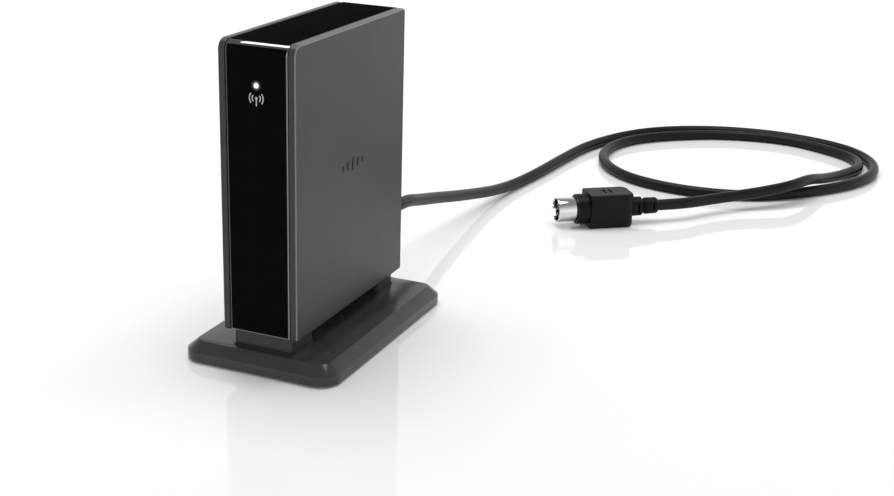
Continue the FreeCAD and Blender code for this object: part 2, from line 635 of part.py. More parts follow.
def on_plug(shape):
    """Move a shape made along +X (cord end at 0, pins at negative x) onto the plug's place."""
    shape = shape.copy()
    shape.rotate(V(0, 0, 0), Z, PLUG_HEADING)
    shape.translate(PLUG_END)
    return shape


def plug_strain_relief():
    """Two stepped sleeves with a V groove between them, each with a slot cut in from both sides."""
    profile = [(0, 0), (0, 2.75), (-0.5, 3.2), (-5.1, 3.3), (-6.0, 2.6), (-6.9, 3.75),
               (-RELIEF_L, 3.85), (-RELIEF_L, 0)]
    wire = Part.makePolygon([V(x, 0, r) for x, r in profile + profile[:1]])
    relief = Part.Face(wire).revolve(V(0, 0, 0), X, 360)
    slots = [block((x - 0.4, x + 0.4), sorted((side * 2.4, side * 5)), (-2.0, 2.0))
             for x in (-2.2, -8.6) for side in (-1, 1)]
    return on_plug(cut_all(relief, slots))


def plug_body():
    """Moulded grip block, rounded at its cord end, with two finger marks on top."""
    body = block((BODY_X, -RELIEF_L), (-BODY_W / 2, BODY_W / 2), (-BODY_H / 2, BODY_H / 2))
    body = round_edges(body, 3.4, Z, lambda c: c.x > -RELIEF_L - 1)
    level = [e for e in body.Edges if abs(abs(e.CenterOfMass.z) - BODY_H / 2) < 0.01
             and e.CenterOfMass.x > BODY_X + 1]
    body = body.makeFillet(1.1, level)
    marks = [block((x - 0.5, x + 0.5), (-2.2, 2.2), (BODY_H / 2 - 0.4, BODY_H / 2 + 1))
             for x in (BODY_X + 7.0, BODY_X + 9.4)]
    return on_plug(cut_all(body, marks))


def plug_collar():
    """Round collar between the block and the metal sleeve."""
    collar = rod(COLLAR_R, V(COLLAR_X, 0, 0), X, COLLAR_L)
    front = [e for e in collar.Edges if e.CenterOfMass.x < COLLAR_X + 0.01]
    return on_plug(collar.makeFillet(0.4, front[:1]))


def plug_shell():
    """Thin metal sleeve, open at the pin end, with a key notch low on its far side."""
    mouth = V(MOUTH_X, 0, 0)
    sleeve = rod(SLEEVE_R, mouth, X, SLEEVE_L).cut(rod(SLEEVE_R - SLEEVE_WALL, mouth, X, SLEEVE_L))
    notch_deep, notch_w, notch_deg = 1.3, 3.3, -30
    notch = block((MOUTH_X - 1, MOUTH_X + notch_deep), (SLEEVE_R - 2, SLEEVE_R + 1),
                  (-notch_w / 2, notch_w / 2))
    notch.rotate(V(0, 0, 0), X, notch_deg)
    return on_plug(sleeve.cut(notch))


def plug_insert():
    """Insulating core: a disc deep in the sleeve with a keying post."""
    disc_t = 2.6
    disc = rod(SLEEVE_R - SLEEVE_WALL, V(COLLAR_X - disc_t, 0, 0), X, disc_t)
    key = block((MOUTH_X + 1.0, COLLAR_X - 2.0), (-1.2, 1.2), (0.2, 1.7))
    core = fuse_all([disc, round_edges(key, 0.25, X)])
    return on_plug(cut_all(core, [rod(PIN_R + 0.02, V(COLLAR_X - 5, y, z), X, 5)
                                  for y, z in pin_places()]))


def pin_places():
    """Nine places, as (y, z): six on an arc and three in a row below it, clear of the post."""
    arc_r, low_z = 2.6, -2.5
    arc = [(arc_r * math.sin(math.radians(a)), arc_r * math.cos(math.radians(a)))
           for a in (-100, -60, -28, 28, 60, 100)]
    row = [(1.6 * i, low_z + PIN_R * abs(i)) for i in (-1, 0, 1)]
    return arc + row


def plug_pins():
    """Round contact pins, one solid each."""
    tip_x = MOUTH_X + 1.2
    pins = []
    for y, z in pin_places():
        pin = rod(PIN_R, V(tip_x, y, z), X, COLLAR_X - tip_x)
        tip = [e for e in pin.Edges if e.CenterOfMass.x < tip_x + 0.01]
        pins.append(on_plug(pin.makeFillet(0.2, tip[:1])))
    return Part.makeCompound(pins)


# ---- write every node ---------------------------------------------------------------
NODES = {
    "pedestal_shell": pedestal_shell,
    "ballast_plate": ballast_plate,
    "base_cover": base_cover,
    "rubber_feet": rubber_feet,
    "cover_screws": cover_screws,
    "front_post": lambda: post(FRONT_POST_Y),
    "rear_post": lambda: post(REAR_POST_Y),
    "tower_screws": tower_screws,
    "side_shell_left": lambda: side_shell(-1),
    "side_shell_right": lambda: side_shell(1),
    "side_emblem": side_emblem,
    "gloss_band": gloss_band,
    "status_icon": lambda: Part.makeCompound(icon_pieces()),
    "light_pipe": light_pipe,
    "rear_panel": rear_panel,
    "rear_screws": rear_screws,
    "bottom_tray": bottom_tray,
    "inner_frame": inner_frame,
    "main_board": main_board,
    "board_screws": board_screws,
    "radio_board": radio_board,
    "radio_shield": radio_shield,
    "chip_antenna": chip_antenna,
    "audio_processor": lambda: leaded_chip(1.5, (-16.0, 9.0), (55.0, 10.0), 11, 0.8),
    "audio_converter": lambda: leaded_chip(1.3, (2.0, 5.4), (55.0, 8.0), 8, 0.9),
    "memory_chip": lambda: leaded_chip(1.5, (13.0, 4.0), (62.0, 5.0), 4, 1.2),
    "voltage_regulator": lambda: leaded_chip(1.6, (11.0, 3.6), (48.0, 6.5), 3, 2.2),
    "power_inductor": power_inductor,
    "filter_capacitors": filter_capacitors,
    "crystal": crystal,
    "status_led": status_led,
    "button_switch": button_switch,
    "switch_plunger": switch_plunger,
    "pair_button": pair_button,
    "board_socket": board_socket,
    "lead_housing": lead_housing,
    "inner_leads": inner_leads,
    "cable_gland": cable_gland,
    "cord": cord,
    "plug_strain_relief": plug_strain_relief,
    "plug_body": plug_body,
    "plug_collar": plug_collar,
    "plug_shell": plug_shell,
    "plug_insert": plug_insert,
    "plug_pins": plug_pins,
}

os.makedirs("parts", exist_ok=True)
for node, make in NODES.items():
    save(node, make())
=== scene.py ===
"""Looks of a slim wireless audio receiver on its pedestal, with a captive lead that ends in a round plug.

Metres, in the frame's own axes: +Z is up, the glossy front faces -Y and the level bars are on +X.
"""
import logging
import math
from collections.abc import Callable
from dataclasses import dataclass
from enum import Enum
from typing import Protocol

import bmesh
import bpy
from mathutils import Matrix, Vector


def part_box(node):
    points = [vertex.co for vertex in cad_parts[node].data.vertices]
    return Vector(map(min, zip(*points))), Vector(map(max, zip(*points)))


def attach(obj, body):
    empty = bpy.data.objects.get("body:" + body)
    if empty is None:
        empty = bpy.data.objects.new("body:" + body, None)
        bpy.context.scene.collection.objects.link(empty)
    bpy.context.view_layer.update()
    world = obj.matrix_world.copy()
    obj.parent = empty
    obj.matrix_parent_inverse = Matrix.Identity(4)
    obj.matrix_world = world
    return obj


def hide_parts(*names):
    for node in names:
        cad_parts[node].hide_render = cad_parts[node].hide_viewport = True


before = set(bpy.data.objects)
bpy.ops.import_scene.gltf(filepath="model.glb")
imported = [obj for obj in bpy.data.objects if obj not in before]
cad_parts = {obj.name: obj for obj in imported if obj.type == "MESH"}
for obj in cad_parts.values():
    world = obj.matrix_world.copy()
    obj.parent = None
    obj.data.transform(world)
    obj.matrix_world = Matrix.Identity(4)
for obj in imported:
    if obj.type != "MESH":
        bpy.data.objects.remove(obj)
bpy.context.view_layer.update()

BODY = "receiver"
MM = 0.001
WELD = 0.001 * MM  # corners closer than this are one
FLAT = 0.01 * MM  # parts this near a plane lie in it, and edges this short don't count
STEM = 2.2 * MM  # length of the radio sign's stem, from the middle of its dot
LIGHT_Z = sum(corner[2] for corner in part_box("light_pipe")) / 2
SIGN_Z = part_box("status_icon")[0][2] + STEM
LOG = logging.getLogger("receiver")

Colour = tuple[float, float, float, float]
Place = tuple[float, float, float]
Span = tuple[float, float]

WHITE: Colour = (1.0, 1.0, 1.0, 1.0)
COLD_LIGHT: Colour = (0.93, 0.97, 1.0, 1.0)


def grey(level: float, warmth: float = 0.0) -> Colour:
    """A linear grey, warmer for a positive warmth and cooler for a negative one."""
    return (level * (1 + warmth), level, level * (1 - warmth), 1.0)


# ---- shader maths --------------------------------------------------------------------
class Field:
    """A number that varies over a surface: one shader socket with arithmetic."""

    def __init__(self, sheet: "ShaderSheet", socket: bpy.types.NodeSocket) -> None:
        """Wrap a socket.

        Args:
            sheet: the shader that the socket belongs to.
            socket: an output that gives one number.
        """
        self.sheet = sheet
        self.socket = socket

    def _maths(self, operation: str, *values: "Field | float") -> "Field":
        """Add one Math node.

        Args:
            operation: the node's operation.
            values: its inputs, in order.

        Returns:
            Its result.
        """
        made = self.sheet.node("ShaderNodeMath", {"operation": operation}, dict(enumerate(values)))
        return Field(self.sheet, made.outputs[0])

    def __add__(self, other: "Field | float") -> "Field":
        """self + other."""
        return self._maths("ADD", self, other)

    __radd__ = __add__

    def __sub__(self, other: "Field | float") -> "Field":
        """self - other."""
        return self._maths("SUBTRACT", self, other)

    def __rsub__(self, other: "Field | float") -> "Field":
        """other - self."""
        return self._maths("SUBTRACT", other, self)

    def __mul__(self, other: "Field | float") -> "Field":
        """self * other."""
        return self._maths("MULTIPLY", self, other)

    __rmul__ = __mul__

    def __abs__(self) -> "Field":
        """Size without sign."""
        return self._maths("ABSOLUTE", self)

    def root(self) -> "Field":
        """Square root."""
        return self._maths("SQRT", self)

    def most(self, other: "Field") -> "Field":
        """The larger of self and other."""
        return self._maths("MAXIMUM", self, other)

    def swing(self, width: float) -> "Field":
        """Noise from 0 to 1 turned into a swing of this whole width about 0."""
        return (self - 0.5) * width

    def step(self, low: float, high: float) -> "Field":
        """Rise smoothly from 0 to 1.

        Args:
            low: value where the result is 0.
            high: value where it is 1; below low, the result falls instead.

        Returns:
            The result, which stays at 0 or 1 past either end.
        """
        ends = {"To Min": 0.0, "To Max": 1.0} if high >= low else {"To Min": 1.0, "To Max": 0.0}
        inputs = {"Value": self, "From Min": min(low, high), "From Max": max(low, high), **ends}
        made = self.sheet.node("ShaderNodeMapRange", {"interpolation_type": "SMOOTHSTEP"}, inputs)
        return Field(self.sheet, made.outputs[0])


class ShaderSheet:
    """One material's node tree, built a node at a time around a Principled shader."""

    def __init__(self, name: str) -> None:
        """Start a material with a Principled shader and its output.

        Args:
            name: the material's name.
        """
        self.material = bpy.data.materials.new(name)
        self.material.use_nodes = True
        self.tree = self.material.node_tree
        self.tree.nodes.clear()
        self.output = self.tree.nodes.new("ShaderNodeOutputMaterial")
        self.shader = self.tree.nodes.new("ShaderNodeBsdfPrincipled")
        self.tree.links.new(self.shader.outputs[0], self.output.inputs["Surface"])
        self.place = self.node("ShaderNodeTexCoord", {}, {}).outputs["Object"]

    def node(self, kind: str, settings: dict[str, object],
             inputs: dict[str | int, object]) -> bpy.types.Node:
        """Add a node.

        Args:
            kind: the node's type name.
            settings: its own settings, set first.
            inputs: a value, Field or socket for each input, by name or index.

        Returns:
            The new node.
        """
        made = self.tree.nodes.new(kind)
        for key, value in settings.items():
            setattr(made, key, value)
        for key, value in inputs.items():
            self.put(made.inputs[key], value)
        return made

    def put(self, target: bpy.types.NodeSocket, value: object) -> None:
        """Set or link one input.

        Args:
            target: the input.
            value: a plain value to set, or a Field or a socket to link.
        """
        if isinstance(value, Field):
            value = value.socket
        if isinstance(value, bpy.types.NodeSocket):
            self.tree.links.new(value, target)
        else:
            target.default_value = value

    def axes(self) -> tuple[Field, Field, Field]:
        """Object coordinates as three Fields, in metres."""
        split = self.node("ShaderNodeSeparateXYZ", {}, {0: self.place})
        return tuple(Field(self, out) for out in split.outputs)

    def stretched(self, x: float, y: float, z: float) -> bpy.types.NodeSocket:
        """Object coordinates scaled along each axis."""
        return self.node("ShaderNodeMapping", {}, {"Vector": self.place, "Scale": (x, y, z)}).outputs[0]

    def noise(self, size: float, detail: float = 2.0,
              across: bpy.types.NodeSocket | None = None) -> Field:
        """Soft noise from 0 to 1 whose blobs are about this size.

        Args:
            size: blob size in metres, or 1 where the coordinates are already scaled.
            detail: octaves of finer noise.
            across: coordinates to use in place of the object's.

        Returns:
            The noise.
        """
        inputs = {"Vector": across or self.place, "Scale": 1 / size, "Detail": detail}
        return Field(self, self.node("ShaderNodeTexNoise", {}, inputs).outputs[0])

    def cells(self, size: float, distance: str = "EUCLIDEAN") -> Field:
        """Distance to the nearest of many scattered points.

        Args:
            size: how far apart the points are, in metres, which is 1 in the result.
            distance: the Voronoi node's way of measuring.

        Returns:
            The distance.
        """
        inputs = {"Vector": self.place, "Scale": 1 / size}
        return Field(self, self.node("ShaderNodeTexVoronoi", {"distance": distance}, inputs).outputs[0])

    def blend(self, share: Field | float, first: object, second: object) -> bpy.types.NodeSocket:
        """Colour that goes from first to second as share goes from 0 to 1."""
        made = self.node("ShaderNodeMix", {"data_type": "RGBA"}, {0: share, 6: first, 7: second})
        return made.outputs[2]

    def bump(self, height: Field, depth: float, strength: float = 1.0) -> bpy.types.NodeSocket:
        """Normal of a surface that stands depth metres proud where height is 1."""
        inputs = {"Height": height, "Distance": depth, "Strength": strength}
        return self.node("ShaderNodeBump", {}, inputs).outputs[0]

    def finish(self, **sockets: object) -> bpy.types.Material:
        """Fill in the Principled shader.

        Args:
            sockets: what each of its sockets gets, under its name with underscores for spaces.

        Returns:
            The finished material.
        """
        for name, value in sockets.items():
            self.put(self.shader.inputs[name.replace("_", " ").title().replace("Ior", "IOR")], value)
        return self.material


# ---- finishes ------------------------------------------------------------------------
class Finish(Protocol):
    """A finish that makes its own material."""

    def material(self) -> bpy.types.Material:
        """Build the material."""


class Marks(Enum):
    """Ways that the fine marks in a metal run, as how often they repeat per metre along X, Y and Z."""

    ROLLED = (400.0, 6000.0, 6000.0)
    TURNED = (900.0, 900.0, 9000.0)
    BLASTED = (5000.0, 5000.0, 5000.0)


@dataclass(frozen=True)
class Moulding:
    """Moulded plastic or rubber: a fine eroded grain over a faintly mottled colour."""

    name: str
    tone: float
    roughness: float
    grain: float = 0.22 * MM
    grain_depth: float = 0.006 * MM
    gloss: float = 0.5
    mottle: float = 0.16
    patches: float = 12 * MM
    tint: Colour = WHITE

    def shade(self, level: float) -> Colour:
        """The finish's colour at a level of brightness."""
        return tuple(level * part for part in self.tint[:3]) + (1.0,)

    def material(self) -> bpy.types.Material:
        """Build the material.

        Returns:
            The material.
        """
        sheet = ShaderSheet(self.name)
        drift = sheet.noise(self.patches, 3.0)
        fine = sheet.noise(self.grain)
        share = (drift * 0.65 + fine * 0.35).step(0.32, 0.68)
        low, high = self.shade(self.tone * (1 - self.mottle)), self.shade(self.tone * (1 + self.mottle))
        return sheet.finish(
            base_color=sheet.blend(share, low, high),
            roughness=self.roughness + fine.swing(0.10) + drift.swing(0.06),
            specular_ior_level=self.gloss,
            normal=sheet.bump(fine, self.grain_depth),
        )


@dataclass(frozen=True)
class SatinLacquer:
    """Charcoal lacquer with fine metal flake, a faint orange peel and a painted highlight, a lighter line along
    its edges.

    The line is full up to the first measure of a pair, inwards from the edge, and gone at the second.
    """

    name: str = "charcoal_lacquer"
    tone: float = 0.034
    flake_tone: float = 0.078
    # lighter colour of the painted highlight along the edges
    painted_highlight_tone: float = 0.22
    roughness: float = 0.40
    metallic: float = 0.20
    gloss: float = 0.28
    flake: float = 0.28 * MM
    patches: float = 20 * MM
    peel: float = 1.6 * MM
    peel_depth: float = 0.004 * MM
    corner: float = 3.2 * MM
    corner_fade: float = 0.1 * MM
    line: Span = (0.30 * MM, 0.50 * MM)
    side_highlight_reach: Span = (0.24 * MM, 0.42 * MM)

    def edge(self, sheet: ShaderSheet) -> Field:
        """The painted highlight: a lighter line along the front, the rounded corner and the top.

        Args:
            sheet: the shader under construction.

        Returns:
            1 on the line, 0 elsewhere.
        """
        (_, front, _), (outer, _, top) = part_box("side_shell_right")
        x, y, z = sheet.axes()
        full, gone = self.line
        near = y.step(front + gone, front + full)
        over = z.step(top - gone, top - full)
        past_y, past_z = (front + self.corner) - y, z - (top - self.corner)
        turned = (past_y * past_y + past_z * past_z).root().step(self.corner - gone, self.corner - full)
        turned = turned * past_y.step(0.0, self.corner_fade) * past_z.step(0.0, self.corner_fade)
        full, gone = self.side_highlight_reach
        return near.most(over).most(turned) * abs(x).step(outer - gone, outer - full)

    def material(self) -> bpy.types.Material:
        """Build the material.

        Returns:
            The material.
        """
        sheet = ShaderSheet(self.name)
        flake = sheet.cells(self.flake).step(0.42, 0.05)
        drift = sheet.noise(self.patches, 3.0)
        peel = sheet.noise(self.peel, 1.0)
        share = flake * 0.55 + drift * 0.3
        plain = sheet.blend(share, grey(self.tone, 0.015), grey(self.flake_tone, 0.01))
        return sheet.finish(
            # painted highlight: the base colour turns lighter along the shell's edges
            base_color=sheet.blend(self.edge(sheet) * 0.9, plain, grey(self.painted_highlight_tone)),
            roughness=self.roughness + flake.swing(0.08) + peel.swing(0.05),
            metallic=self.metallic,
            specular_ior_level=self.gloss,
            normal=sheet.bump(peel * 0.8 + flake * 0.2, self.peel_depth),
        )


@dataclass(frozen=True)
class PianoBlack:
    """Deep gloss black: flats that stay black, bright rounded edges and a painted glow round the light, which
    the band itself emits.

    In a pair of measures, the mark starts to show at the first and is full at the second.
    """

    name: str = "piano_black"
    tones: Span = (0.0016, 0.0026)
    flat_coat: float = 0.009
    haze: float = 0.035
    index: float = 2.6
    # strength of the painted glow round the light
    glow: float = 0.22
    dust: float = 6 * MM
    soft: float = 0.25 * MM
    glint_forward: Span = (0.9 * MM, 1.2 * MM)
    glint_up: Span = (1.9 * MM, 2.2 * MM)
    # where the painted glow round the light starts and is full, measured from the light's middle
    painted_halo: Span = (1.9 * MM, 0.5 * MM)
    skin_forward: Span = (2.0 * MM, 2.5 * MM)

    def material(self, half_width: float, nose: Span, foot: float) -> bpy.types.Material:
        """Build the material.

        Args:
            half_width: distance from the middle to where the rims start to round.
            nose: y and z of the axis that the top front corner is rounded about.
            foot: height under which the lower edge rounds.

        Returns:
            The material.
        """
        sheet = ShaderSheet(self.name)
        x, y, z = sheet.axes()
        forward, up, above = nose[0] - y, z - nose[1], z - LIGHT_Z
        rim = abs(x).step(half_width, half_width + self.soft)
        corner = forward.step(*self.glint_forward) * up.step(*self.glint_up)
        edges = rim.most(corner).most(z.step(foot, foot - self.soft))
        painted_halo = (x * x + above * above).root().step(*self.painted_halo) * forward.step(*self.skin_forward)
        dust = sheet.noise(self.dust, 4.0)
        return sheet.finish(
            base_color=sheet.blend(dust, grey(self.tones[0]), grey(self.tones[1])),
            roughness=0.30 + dust * 0.1,
            specular_ior_level=0.0,
            coat_weight=edges * (1 - self.flat_coat) + self.flat_coat + dust.swing(0.004),
            coat_roughness=self.haze,
            coat_ior=self.index,
            # painted light: the band's own surface emits a soft glow round the light hole
            emission_color=sheet.blend(painted_halo * painted_halo * self.glow, grey(0.0), COLD_LIGHT),
            emission_strength=1.0,
        )


@dataclass(frozen=True)
class Metal:
    """Plated or bare metal, with fine marks from turning, rolling or blasting."""

    name: str
    colour: Colour
    roughness: float
    marks: Marks = Marks.TURNED
    scratch: float = 0.0015 * MM
    haze: float = 4 * MM
    dull: float = 0.86

    def material(self) -> bpy.types.Material:
        """Build the material.

        Returns:
            The material.
        """
        sheet = ShaderSheet(self.name)
        lines = sheet.noise(1.0, across=sheet.stretched(*self.marks.value))
        haze = sheet.noise(self.haze)
        dark = tuple(c * self.dull for c in self.colour[:3]) + (1.0,)
        return sheet.finish(
            base_color=sheet.blend(haze, dark, self.colour),
            roughness=self.roughness + lines.swing(0.06) + haze.swing(0.04),
            metallic=1.0,
            normal=sheet.bump(lines, self.scratch),
        )


@dataclass(frozen=True)
class Glowing:
    """Clear or diffusing resin with light behind it, or ink given a faint painted glow: brightest at its
    centre.
    """

    name: str
    tone: float
    centre_z: float
    reach: float
    strength: float
    spill: float = 0.04
    cloud: float = 0.9 * MM
    tint: Colour = (0.94, 0.97, 1.0, 1.0)

    def material(self) -> bpy.types.Material:
        """Build the material.

        Returns:
            The material.
        """
        sheet = ShaderSheet(self.name)
        x, _, z = sheet.axes()
        up = z - self.centre_z
        core = (x * x + up * up).root().step(self.reach, 0.0)
        cloud = sheet.noise(self.cloud)
        return sheet.finish(
            base_color=sheet.blend(cloud, grey(self.tone * 0.92), grey(self.tone)),
            roughness=0.22 + cloud * 0.1,
            emission_color=sheet.blend(core * (1 - self.spill) + self.spill, grey(0.0), self.tint),
            emission_strength=self.strength,
            normal=sheet.bump(cloud, 0.002 * MM),
        )


@dataclass(frozen=True)
class Laminate:
    """Circuit board: dark solder mask, copper tracks under it and bare tinned dots."""

    name: str = "board_laminate"
    track: float = 1.1 * MM
    weave: float = 0.3 * MM
    copper_depth: float = 0.03 * MM
    mask: Colour = (0.004, 0.030, 0.014, 1.0)
    over_copper: Colour = (0.010, 0.062, 0.026, 1.0)
    tinned: Colour = (0.62, 0.62, 0.60, 1.0)

    def material(self) -> bpy.types.Material:
        """Build the material.

        Returns:
            The material.
        """
        sheet = ShaderSheet(self.name)
        copper = sheet.cells(3 * self.track, "CHEBYCHEV").step(0.34, 0.40)
        dots = sheet.cells(4 * self.track).step(0.10, 0.07)
        weave = sheet.noise(self.weave, 1.0)
        mask = sheet.blend(copper, self.mask, self.over_copper)
        return sheet.finish(
            base_color=sheet.blend(dots, mask, self.tinned),
            metallic=dots,
            roughness=0.28 + weave * 0.12,
            normal=sheet.bump(copper * 0.6 + dots * 0.4, self.copper_depth),
        )


@dataclass(frozen=True)
class ChipPack:
    """Moulded chip whose legs, outside the body along Y, are tinned."""

    node: str
    leg: float = 1.0 * MM
    fade: float = 0.05 * MM
    grain: float = 0.15 * MM
    grain_depth: float = 0.005 * MM
    resin_tones: Span = (0.010, 0.018)
    leg_tone: float = 0.72

    @property
    def name(self) -> str:
        """Name of this chip's own material."""
        return f"{self.node}_finish"

    def material(self) -> bpy.types.Material:
        """Build the material.

        Returns:
            The material.
        """
        low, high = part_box(self.node)
        middle, root = (low[1] + high[1]) / 2, (high[1] - low[1]) / 2 - self.leg
        sheet = ShaderSheet(self.name)
        _, y, _ = sheet.axes()
        legs = abs(y - middle).step(root - self.fade, root)
        grain = sheet.noise(self.grain)
        body = sheet.blend(grain, grey(self.resin_tones[0]), grey(self.resin_tones[1]))
        return sheet.finish(
            base_color=sheet.blend(legs, body, grey(self.leg_tone)),
            metallic=legs,
            roughness=0.46 + grain * 0.16 - legs * 0.22,
            normal=sheet.bump(grain, self.grain_depth),
        )


CHARCOAL = SatinLacquer()
GLOSS = PianoBlack()
PEDESTAL = Moulding("pedestal_moulding", 0.038, 0.19, grain_depth=0.003 * MM, gloss=0.36,
                    tint=(1.03, 1.0, 0.98, 1.0))
POST = Moulding("post_moulding", 0.022, 0.28, gloss=0.4)
BARS = Moulding("level_bars", 0.020, 0.42, gloss=0.4)
UNDERSIDE = Moulding("underside_moulding", 0.014, 0.5, gloss=0.35)
BUTTON = Moulding("button_moulding", 0.028, 0.33)
RUBBER = Moulding("foot_rubber", 0.016, 0.75, grain=0.4 * MM, gloss=0.3)
GLAND = Moulding("gland_rubber", 0.010, 0.55, grain=0.4 * MM, gloss=0.3)
JACKET = Moulding("cord_jacket", 0.0036, 0.42, grain=0.5 * MM, grain_depth=0.008 * MM, gloss=0.20)
GRIP = Moulding("plug_moulding", 0.0034, 0.42, gloss=0.15)
INSERT = Moulding("plug_core", 0.006, 0.5, gloss=0.2)
FRAME = Moulding("frame_plastic", 0.035, 0.55)
NYLON = Moulding("header_nylon", 0.62, 0.45, tint=(1.0, 0.97, 0.88, 1.0))
WIRE = Moulding("wire_insulation", 0.05, 0.4, tint=(1.0, 0.9, 0.8, 1.0))
CERAMIC = Moulding("ceramic", 0.55, 0.5, tint=(0.92, 0.97, 1.0, 1.0))
FERRITE = Moulding("ferrite", 0.045, 0.6, grain=0.3 * MM, grain_depth=0.02 * MM)
RESIN = Glowing("led_resin", 0.75, LIGHT_Z, reach=1.6 * MM, strength=1.2)
WINDOW = Glowing("light_window", 0.10, LIGHT_Z, reach=0.95 * MM, strength=3.2)
# painted light: the printed sign's ink glows faintly though no lamp lights it
SIGN_INK_PAINTED_GLOW = Glowing("sign_ink_painted_glow", 0.40, SIGN_Z, reach=6.0 * MM, strength=0.10, spill=0.3)
NICKEL = Metal("bright_nickel", grey(0.70, 0.01), 0.09)
BLACK_ZINC = Metal("black_zinc", grey(0.12), 0.34)
STEEL = Metal("ballast_steel", grey(0.45), 0.34, Marks.ROLLED, scratch=0.004 * MM)
SCREW_STEEL = Metal("screw_steel", grey(0.52), 0.28)
TIN = Metal("shield_tin", grey(0.66), 0.26, Marks.ROLLED)
CAN = Metal("capacitor_can", grey(0.72), 0.24, Marks.BLASTED)
GOLD = Metal("contact_gold", (0.42, 0.29, 0.11, 1.0), 0.26)


# ---- the stage -----------------------------------------------------------------------
@dataclass
class Studio:
    """Camera, pale floor and soft lights."""

    lens: float = 57.93
    sensor: float = 36.0
    clip: Span = (0.01, 50.0)
    camera_at: Place = (0.19989, -0.37597, 0.17744)
    yaw: float = 22.62
    pitch: float = 19.38
    roll: float = 1.73
    floor_size: float = 8.0
    floor_tones: Span = (0.90, 0.92)
    floor_gloss: float = 0.045
    floor_patches: float = 0.35
    wall_tint: Colour = (0.985, 0.995, 1.0, 1.0)
    horizon: float = 1.26
    zenith: float = 0.30
    zenith_from: float = 0.90
    lamp_at: Place = (-0.12, 0.22, 1.15)
    lamp_aim: Place = (-0.12, 0.14, 0.0)
    lamp_size: Span = (1.2, 0.5)
    lamp_power: float = 11.0

    def camera(self) -> None:
        """Place the camera by its heading, tilt and roll."""
        yaw, pitch, roll = (math.radians(a) for a in (self.yaw, self.pitch, self.roll))
        back = Vector((math.sin(yaw) * math.cos(pitch), -math.cos(yaw) * math.cos(pitch), math.sin(pitch)))
        level = Vector((0, 0, 1)).cross(back).normalized()
        upright = back.cross(level)
        right = level * math.cos(roll) + upright * math.sin(roll)
        data = bpy.data.cameras.new("camera")
        data.lens, data.sensor_width = self.lens, self.sensor
        data.clip_start, data.clip_end = self.clip
        holder = bpy.data.objects.new("camera", data)
        turn = Matrix((right, back.cross(right), back)).transposed().to_4x4()
        holder.matrix_world = Matrix.Translation(self.camera_at) @ turn
        bpy.context.scene.collection.objects.link(holder)
        bpy.context.scene.camera = holder

    def floor(self) -> None:
        """Wide polished white floor."""
        shape = bmesh.new()
        bmesh.ops.create_grid(shape, x_segments=1, y_segments=1, size=self.floor_size / 2)
        mesh = bpy.data.meshes.new("floor")
        shape.to_mesh(mesh)
        shape.free()
        sheet = ShaderSheet("studio_floor")
        wear = sheet.noise(self.floor_patches)
        low, high = (grey(tone, -0.006) for tone in self.floor_tones)
        mesh.materials.append(sheet.finish(base_color=sheet.blend(wear, low, high),
                                           roughness=self.floor_gloss + wear * 0.02))
        plane = bpy.data.objects.new("floor", mesh)
        bpy.context.scene.collection.objects.link(plane)

    def lamp(self) -> None:
        """One broad rectangular soft light overhead."""
        data = bpy.data.lights.new("overhead", "AREA")
        data.shape = "RECTANGLE"
        data.size, data.size_y = self.lamp_size
        data.energy = self.lamp_power
        lamp = bpy.data.objects.new("overhead", data)
        turn = (Vector(self.lamp_aim) - Vector(self.lamp_at)).to_track_quat("-Z", "Y")
        lamp.matrix_world = Matrix.Translation(self.lamp_at) @ turn.to_matrix().to_4x4()
        bpy.context.scene.collection.objects.link(lamp)

    def surroundings(self) -> None:
        """White walls that darken towards the ceiling."""
        world = bpy.data.worlds.new("surroundings")
        world.use_nodes = True
        tree = world.node_tree
        background = tree.nodes["Background"]
        background.inputs["Color"].default_value = self.wall_tint
        place = tree.nodes.new("ShaderNodeTexCoord").outputs["Generated"]
        split = tree.nodes.new("ShaderNodeSeparateXYZ")
        fall = tree.nodes.new("ShaderNodeMapRange")
        fall.interpolation_type = "SMOOTHSTEP"
        for name, value in (("From Min", 0.0), ("From Max", self.zenith_from),
                            ("To Min", self.horizon), ("To Max", self.zenith)):
            fall.inputs[name].default_value = value
        tree.links.new(place, split.inputs[0])
        tree.links.new(split.outputs["Z"], fall.inputs["Value"])
        tree.links.new(fall.outputs[0], background.inputs["Strength"])
        bpy.context.scene.world = world

    def build(self) -> None:
        """Set up the whole stage."""
        self.camera()
        self.floor()
        self.surroundings()
        self.lamp()
        bpy.context.scene.view_settings.view_transform = "Standard"
        LOG.info("studio ready")


# ---- pieces --------------------------------------------------------------------------
def dress(finish: Finish, *nodes: str) -> None:
    """Give CAD nodes' objects this finish in every slot.

    Args:
        finish: a finish, which makes the material.
        nodes: the nodes' names.
    """
    material = finish.material()
    for node in nodes:
        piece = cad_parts[node]
        if not piece.material_slots:
            piece.data.materials.append(material)
        for holder in piece.material_slots:
            holder.material = material
        LOG.info("%s dressed in %s", node, material.name)


def crease(shape: bmesh.types.BMesh, degrees: float = 32.0) -> None:
    """Shade every face smooth, and keep the sharp edges sharp.

    Args:
        shape: the mesh.
        degrees: least turn between an edge's two faces that counts as sharp.
    """
    for face in shape.faces:
        face.smooth = True
    for edge in shape.edges:
        edge.smooth = len(edge.link_faces) == 2 and edge.calc_face_angle(0.0) < math.radians(degrees)


def round_off(shape: bmesh.types.BMesh, edges: list[bmesh.types.BMEdge], radius: float,
              segments: int) -> None:
    """Round some edges.

    Args:
        shape: the mesh.
        edges: the edges.
        radius: how far the rounding reaches from each edge.
        segments: faces across it.
    """
    bmesh.ops.bevel(shape, geom=edges, offset=radius, offset_type="OFFSET", segments=segments, profile=0.5,
                    affect="EDGES", material=-1, clamp_overlap=True)


